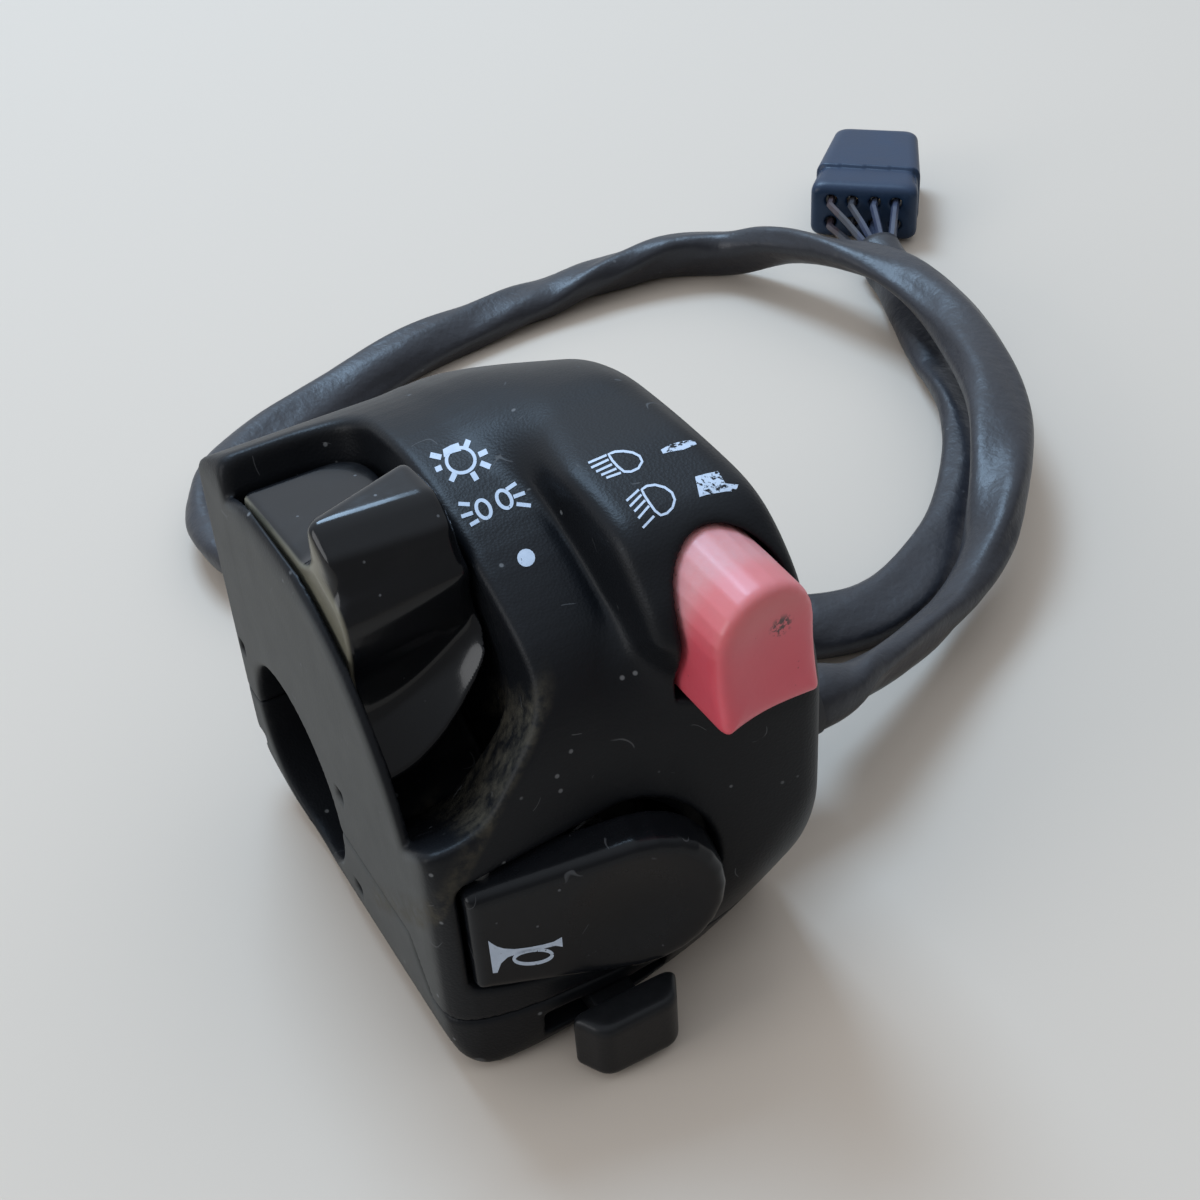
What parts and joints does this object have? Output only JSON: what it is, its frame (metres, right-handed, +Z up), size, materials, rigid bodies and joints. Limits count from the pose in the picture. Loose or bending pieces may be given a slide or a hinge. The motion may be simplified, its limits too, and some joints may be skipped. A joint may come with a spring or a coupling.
{
  "type": "handlebar switch cluster",
  "caption": "Left handlebar switch cluster: two-part clamp housing with light lever, dip button, horn paddle, turn-signal knob and a wiring tail with connector.",
  "frame": {"origin": "on the axis of the handlebar, halfway along the housing", "axes": "+X along the handlebar from the grip side to the other side, +Y away from the rider's thumb toward the back of the bar, +Z up, from the flat bottom of the housing to its domed top"},
  "size_m": [0.1491, 0.1413, 0.0545],
  "materials": {
    "housing_black": "satin, finely grained, edges worn a little glossy",
    "lever_black": "polished",
    "button_black": "satin gloss",
    "button_red": "slightly translucent, scuffed",
    "nylon_white": "moulded",
    "switch_black": "moulded",
    "zinc_steel": "zinc plated",
    "bearing_steel": "polished",
    "spring_steel": "drawn wire",
    "contact_brass": "stamped strip",
    "board_brown": "laminated board",
    "copper_pads": "rivet heads",
    "wire_blue": "extruded insulation",
    "grommet_rubber": "moulded",
    "sleeve_pvc": "soft, flattened",
    "connector_navy": "satin"
  },
  "bodies": {
    "housing": {"upper_shell": "housing_black", "lower_shell": "housing_black", "light_board": "board_brown", "light_pads": "copper_pads", "dip_body": "switch_black", "dip_contacts": "contact_brass", "dip_spring": "spring_steel", "horn_pin": "zinc_steel", "horn_contact": "switch_black", "horn_spring": "spring_steel", "turn_rail": "zinc_steel", "turn_board": "board_brown", "turn_pads": "copper_pads", "board_screws": "zinc_steel", "clamp_screws": "zinc_steel", "inner_wires": "wire_blue", "wire_grommet": "grommet_rubber", "harness_sleeve": "sleeve_pvc", "plug_wires": "wire_blue", "plug_housing": "connector_navy", "plug_terminals": "contact_brass"},
    "light_switch": {"light_lever": "lever_black", "light_rotor": "nylon_white", "light_screw": "zinc_steel", "light_wiper": "contact_brass", "light_detent_ball": "bearing_steel", "light_detent_spring": "spring_steel"},
    "dip_switch": {"dip_button": "button_red", "dip_plunger": "nylon_white"},
    "horn_switch": {"horn_button": "button_black", "horn_blade": "contact_brass"},
    "turn_slider": {"turn_carriage": "nylon_white", "turn_detent_ball": "bearing_steel", "turn_detent_spring": "spring_steel", "turn_wiper": "contact_brass", "turn_spring": "spring_steel"},
    "turn_pusher": {"turn_knob": "button_black"}
  },
  "joints": [
    {"name": "light_turn", "type": "hinge", "parent": "housing", "child": "light_switch", "pos_m": [0, -0.005, 0.02], "axis": [1, 0, 0], "range_deg": [0, 28]},
    {"name": "dip_press", "type": "slide", "parent": "housing", "child": "dip_switch", "axis": [0, 1, 0], "range_m": [0, 0.004], "stiffness_N_per_m": 900, "springref_m": -0.0015, "deforming": ["dip_spring"]},
    {"name": "horn_press", "type": "hinge", "parent": "housing", "child": "horn_switch", "pos_m": [-0.01484, -0.03418, 0.0044], "axis": [0, 0, 1], "range_deg": [0, 5], "stiffness_Nm_per_rad": 0.25, "springref_deg": -3.44, "deforming": ["horn_spring"]},
    {"name": "turn_slide", "type": "slide", "parent": "housing", "child": "turn_slider", "axis": [1, 0, 0], "range_m": [-0.0045, 0.0045]},
    {"name": "turn_cancel", "type": "slide", "parent": "turn_slider", "child": "turn_pusher", "axis": [0, 1, 0], "range_m": [0, 0.0015], "stiffness_N_per_m": 900, "springref_m": -0.0015, "deforming": ["turn_spring"]}
  ]
}
